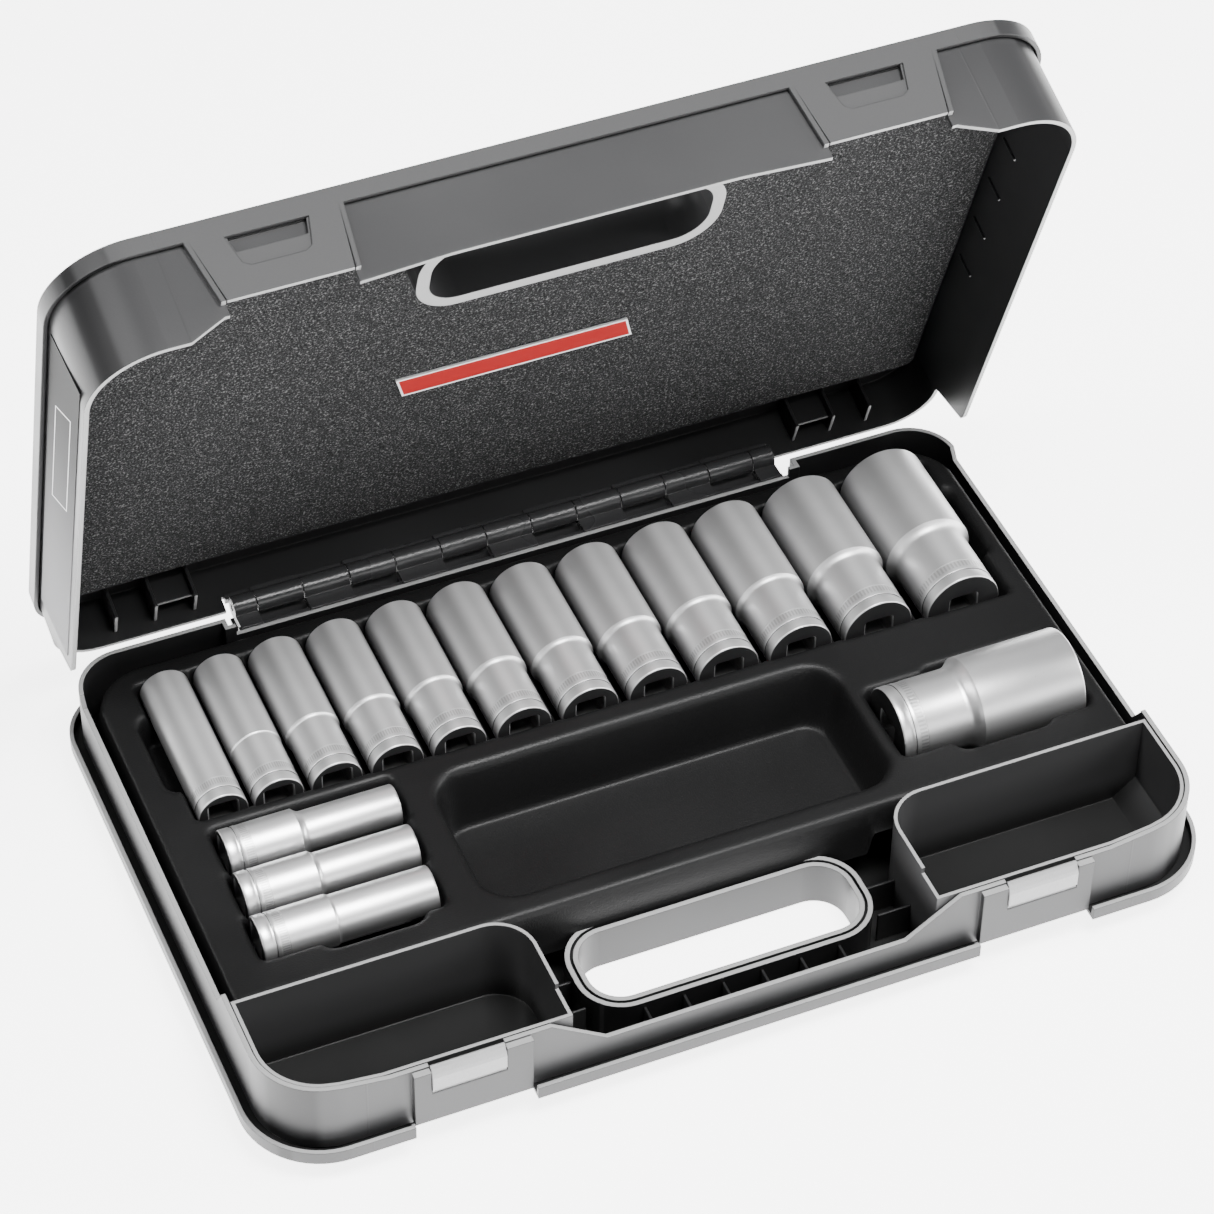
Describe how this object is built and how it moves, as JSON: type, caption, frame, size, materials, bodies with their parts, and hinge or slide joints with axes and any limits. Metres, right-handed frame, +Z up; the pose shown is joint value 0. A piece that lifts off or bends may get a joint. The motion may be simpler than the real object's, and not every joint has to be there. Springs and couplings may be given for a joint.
{
  "type": "socket wrench set in case",
  "caption": "Deep hexagon sockets with square drives lying in a moulded tray, in a flat hinged plastic carrying case with latches, a hand opening and a padded lid.",
  "frame": {"origin": "middle of the base's footprint, on the surface that the case rests on", "axes": "+X along the case's width with the largest sockets on the +X side, +Y from the handle to the hinge, +Z up"},
  "size_m": [0.424, 0.3049, 0.3123],
  "materials": {
    "case_plastic": "satin",
    "bin_plastic": "satin",
    "tray_plastic": "matte",
    "pin_steel": "satin",
    "tab_plastic": "satin",
    "lid_plastic": "satin",
    "foam": "matte",
    "badge_print": "satin",
    "label_print": "satin",
    "satin_chrome": "satin",
    "polished_chrome": "polished"
  },
  "bodies": {
    "base": {"base_shell": "case_plastic", "left_compartment": "bin_plastic", "right_compartment": "bin_plastic", "insert_tray": "tray_plastic", "row_seats": "tray_plastic", "side_seats": "tray_plastic", "large_seat": "tray_plastic", "tool_recess": "tray_plastic", "base_hinge_leaf": "case_plastic", "hinge_pin": "pin_steel"},
    "lid": {"lid_shell": "lid_plastic", "lid_hinge_leaf": "lid_plastic", "foam_pad": "foam", "badge_plate": "badge_print", "side_label": "label_print"},
    "left_tab": {"left_latch_tab": "tab_plastic"},
    "right_tab": {"right_latch_tab": "tab_plastic"},
    "socket_12mm": {"socket_12mm": "polished_chrome"},
    "socket_13mm": {"socket_13mm": "polished_chrome"},
    "socket_14mm": {"socket_14mm": "polished_chrome"},
    "socket_15mm": {"socket_15mm": "satin_chrome"},
    "socket_16mm": {"socket_16mm": "satin_chrome"},
    "socket_17mm": {"socket_17mm": "satin_chrome"},
    "socket_18mm": {"socket_18mm": "satin_chrome"},
    "socket_19mm": {"socket_19mm": "satin_chrome"},
    "socket_20mm": {"socket_20mm": "satin_chrome"},
    "socket_21mm": {"socket_21mm": "satin_chrome"},
    "socket_22mm": {"socket_22mm": "satin_chrome"},
    "socket_23mm": {"socket_23mm": "satin_chrome"},
    "socket_24mm": {"socket_24mm": "satin_chrome"},
    "socket_27mm": {"socket_27mm": "satin_chrome"},
    "socket_30mm": {"socket_30mm": "satin_chrome"},
    "socket_32mm": {"socket_32mm": "polished_chrome"}
  },
  "joints": [
    {"name": "lid_hinge", "type": "hinge", "parent": "base", "child": "lid", "pos_m": [0, 0.136, 0.04], "axis": [-1, 0, 0], "range_deg": [-72, 33]},
    {"name": "left_latch_press", "type": "hinge", "parent": "base", "child": "left_tab", "pos_m": [-0.126, -0.1374, 0.031], "axis": [-1, 0, 0], "range_deg": [0, 8], "stiffness_Nm_per_rad": 0.3},
    {"name": "right_latch_press", "type": "hinge", "parent": "base", "child": "right_tab", "pos_m": [0.126, -0.1374, 0.031], "axis": [-1, 0, 0], "range_deg": [0, 8], "stiffness_Nm_per_rad": 0.3},
    {"name": "socket_12mm_lift", "type": "slide", "parent": "base", "child": "socket_12mm", "axis": [0, 0, 1], "range_m": [0, 0.09]},
    {"name": "socket_13mm_lift", "type": "slide", "parent": "base", "child": "socket_13mm", "axis": [0, 0, 1], "range_m": [0, 0.09]},
    {"name": "socket_14mm_lift", "type": "slide", "parent": "base", "child": "socket_14mm", "axis": [0, 0, 1], "range_m": [0, 0.09]},
    {"name": "socket_15mm_lift", "type": "slide", "parent": "base", "child": "socket_15mm", "axis": [0, 0, 1], "range_m": [0, 0.09]},
    {"name": "socket_16mm_lift", "type": "slide", "parent": "base", "child": "socket_16mm", "axis": [0, 0, 1], "range_m": [0, 0.09]},
    {"name": "socket_17mm_lift", "type": "slide", "parent": "base", "child": "socket_17mm", "axis": [0, 0, 1], "range_m": [0, 0.09]},
    {"name": "socket_18mm_lift", "type": "slide", "parent": "base", "child": "socket_18mm", "axis": [0, 0, 1], "range_m": [0, 0.09]},
    {"name": "socket_19mm_lift", "type": "slide", "parent": "base", "child": "socket_19mm", "axis": [0, 0, 1], "range_m": [0, 0.09]},
    {"name": "socket_20mm_lift", "type": "slide", "parent": "base", "child": "socket_20mm", "axis": [0, 0, 1], "range_m": [0, 0.09]},
    {"name": "socket_21mm_lift", "type": "slide", "parent": "base", "child": "socket_21mm", "axis": [0, 0, 1], "range_m": [0, 0.09]},
    {"name": "socket_22mm_lift", "type": "slide", "parent": "base", "child": "socket_22mm", "axis": [0, 0, 1], "range_m": [0, 0.09]},
    {"name": "socket_23mm_lift", "type": "slide", "parent": "base", "child": "socket_23mm", "axis": [0, 0, 1], "range_m": [0, 0.09]},
    {"name": "socket_24mm_lift", "type": "slide", "parent": "base", "child": "socket_24mm", "axis": [0, 0, 1], "range_m": [0, 0.09]},
    {"name": "socket_27mm_lift", "type": "slide", "parent": "base", "child": "socket_27mm", "axis": [0, 0, 1], "range_m": [0, 0.09]},
    {"name": "socket_30mm_lift", "type": "slide", "parent": "base", "child": "socket_30mm", "axis": [0, 0, 1], "range_m": [0, 0.09]},
    {"name": "socket_32mm_lift", "type": "slide", "parent": "base", "child": "socket_32mm", "axis": [0, 0, 1], "range_m": [0, 0.09]}
  ]
}
